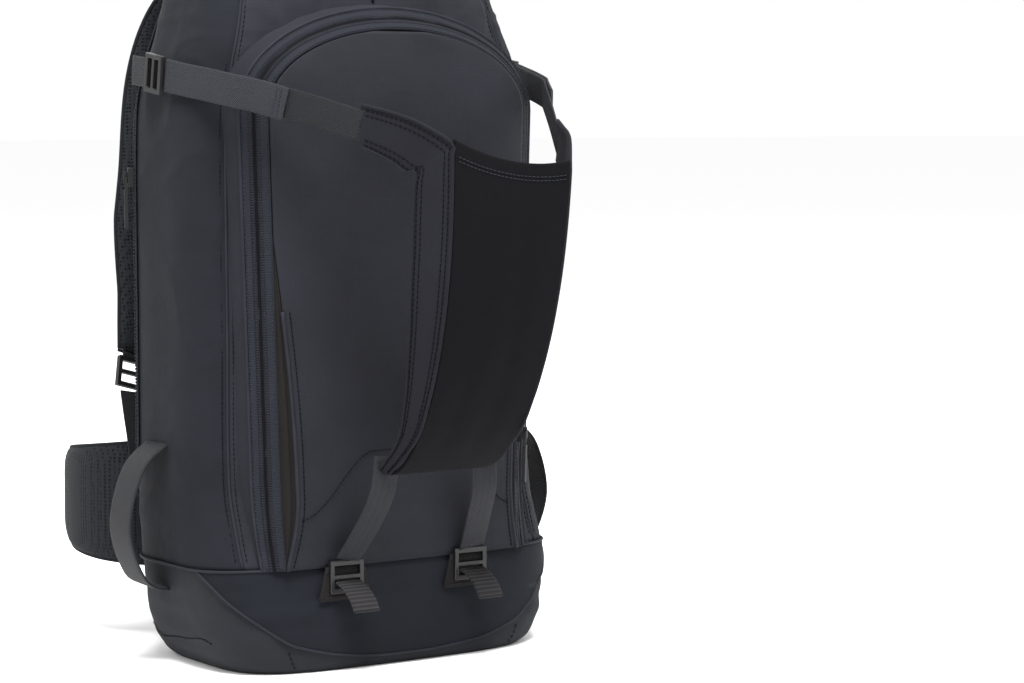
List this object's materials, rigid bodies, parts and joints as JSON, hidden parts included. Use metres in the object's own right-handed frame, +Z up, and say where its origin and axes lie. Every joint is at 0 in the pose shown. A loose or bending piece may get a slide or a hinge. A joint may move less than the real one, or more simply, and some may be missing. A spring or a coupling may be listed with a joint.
{
  "type": "ski backpack",
  "caption": "Upright touring backpack with an arched front zip, a deployed helmet sling on side straps, padded shoulder harness and hip belt.",
  "frame": {"origin": "centre of the flat base on the floor, in the middle of its width", "axes": "+Z up, -Y out of the front where the helmet sling is, +Y towards the wearer, +X to the right seen from the front"},
  "size_m": [0.3444, 0.4235, 0.5504],
  "materials": {
    "base_cloth": "matte coated weave",
    "skirt_cloth": "matte heavy weave",
    "side_cloth": "matte heavy weave",
    "body_cloth": "ripstop with a soft sheen",
    "lining_cloth": "matte lining",
    "back_cloth": "matte mesh over foam",
    "zip_tape": "matte tape with nylon coils",
    "webbing": "woven webbing",
    "sling_cloth": "matte smooth weave",
    "wing_cloth": "matte smooth weave",
    "plastic": "moulded, fine grain",
    "slider_metal": "black paint",
    "stay_metal": "brushed",
    "sheet_plastic": "smooth"
  },
  "bodies": {
    "bag": {"base_panel": "base_cloth", "base_rim": "base_cloth", "lower_front_panel": "skirt_cloth", "left_side_panel": "side_cloth", "right_side_panel": "side_cloth", "front_divider": "body_cloth", "back_wall": "back_cloth", "top_panel": "body_cloth", "front_gusset": "side_cloth", "front_panel": "body_cloth", "front_bellows": "lining_cloth", "front_zip": "zip_tape", "lid_zip": "zip_tape", "main_zip": "zip_tape", "frame_sheet": "sheet_plastic", "frame_stays": "stay_metal", "back_pads": "back_cloth", "lumbar_pad": "back_cloth", "shoulder_strap_left": "back_cloth", "shoulder_strap_right": "back_cloth", "load_lifters": "webbing", "strap_adjusters": "plastic", "lower_webbings": "webbing", "sternum_rails": "plastic", "hip_wing_left": "back_cloth", "hip_wing_right": "back_cloth", "hip_webbing_left": "webbing", "hip_female": "plastic", "grab_handle": "webbing", "sling_panel": "sling_cloth", "sling_wing_left": "wing_cloth", "sling_wing_right": "wing_cloth", "sling_webbings": "webbing", "sling_returns": "webbing", "sling_ladderlocks_upper": "plastic", "sling_ladderlocks_lower": "plastic", "sling_tabs": "webbing", "sling_lower_webbings": "webbing", "ski_loops": "webbing"},
    "front_zip_slider": {"front_slider": "slider_metal"},
    "front_zip_pull": {"front_pull": "plastic"},
    "lid_zip_slider": {"lid_slider": "slider_metal"},
    "lid_zip_pull": {"lid_pull": "plastic"},
    "left_zip_slider": {"main_slider_left": "slider_metal"},
    "left_zip_pull": {"main_pull_left": "plastic"},
    "right_zip_slider": {"main_slider_right": "slider_metal"},
    "right_zip_pull": {"main_pull_right": "plastic"},
    "sternum_strap": {"sternum_sliders": "plastic", "sternum_webbing_left": "webbing", "sternum_female": "plastic"},
    "sternum_strap_end": {"sternum_male": "plastic", "sternum_webbing_right": "webbing"},
    "hip_belt_end": {"hip_male": "plastic", "hip_webbing_right": "webbing"},
    "left_tail": {"sling_tail_left": "webbing"},
    "right_tail": {"sling_tail_right": "webbing"}
  },
  "joints": [
    {"name": "front_zip_run", "type": "slide", "parent": "bag", "child": "front_zip_slider", "axis": [0.031, 0, 0.9995], "range_m": [0, 0.208]},
    {"name": "front_pull_swing", "type": "hinge", "parent": "front_zip_slider", "child": "front_zip_pull", "pos_m": [0.10622, -0.07299, 0.14987], "axis": [-0.7066, -0.7073, 0.0219], "range_deg": [0, 100]},
    {"name": "lid_zip_run", "type": "slide", "parent": "bag", "child": "lid_zip_slider", "axis": [-1, 0, 0], "range_m": [0, 0.088]},
    {"name": "lid_pull_swing", "type": "hinge", "parent": "lid_zip_slider", "child": "lid_zip_pull", "pos_m": [0.044, -0.02894, 0.49608], "axis": [0, 0.5237, 0.8519], "range_deg": [0, 100]},
    {"name": "left_zip_run", "type": "slide", "parent": "bag", "child": "left_zip_slider", "axis": [0, 0, -1], "range_m": [0, 0.16]},
    {"name": "left_pull_swing", "type": "hinge", "parent": "left_zip_slider", "child": "left_zip_pull", "pos_m": [-0.14293, 0.04725, 0.33], "axis": [0.4357, 0.9001, 0], "range_deg": [0, 100]},
    {"name": "right_zip_run", "type": "slide", "parent": "bag", "child": "right_zip_slider", "axis": [0, 0, -1], "range_m": [0, 0.16]},
    {"name": "right_pull_swing", "type": "hinge", "parent": "right_zip_slider", "child": "right_zip_pull", "pos_m": [0.14293, 0.04725, 0.33], "axis": [0.4357, -0.9001, 0], "range_deg": [0, 100]},
    {"name": "sternum_height", "type": "slide", "parent": "bag", "child": "sternum_strap", "axis": [0, 0, 1], "range_m": [-0.032, 0.032]},
    {"name": "sternum_release", "type": "slide", "parent": "sternum_strap", "child": "sternum_strap_end", "axis": [1, 0, 0], "range_m": [0, 0.03]},
    {"name": "hip_release", "type": "slide", "parent": "bag", "child": "hip_belt_end", "axis": [1, 0, 0], "range_m": [0, 0.042]},
    {"name": "left_tail_swing", "type": "hinge", "parent": "bag", "child": "left_tail", "pos_m": [-0.05, -0.0886, 0.06], "axis": [1, 0, 0], "range_deg": [-45, 35], "stiffness_Nm_per_rad": 0.01},
    {"name": "right_tail_swing", "type": "hinge", "parent": "bag", "child": "right_tail", "pos_m": [0.05, -0.0886, 0.06], "axis": [1, 0, 0], "range_deg": [-45, 35], "stiffness_Nm_per_rad": 0.01}
  ]
}
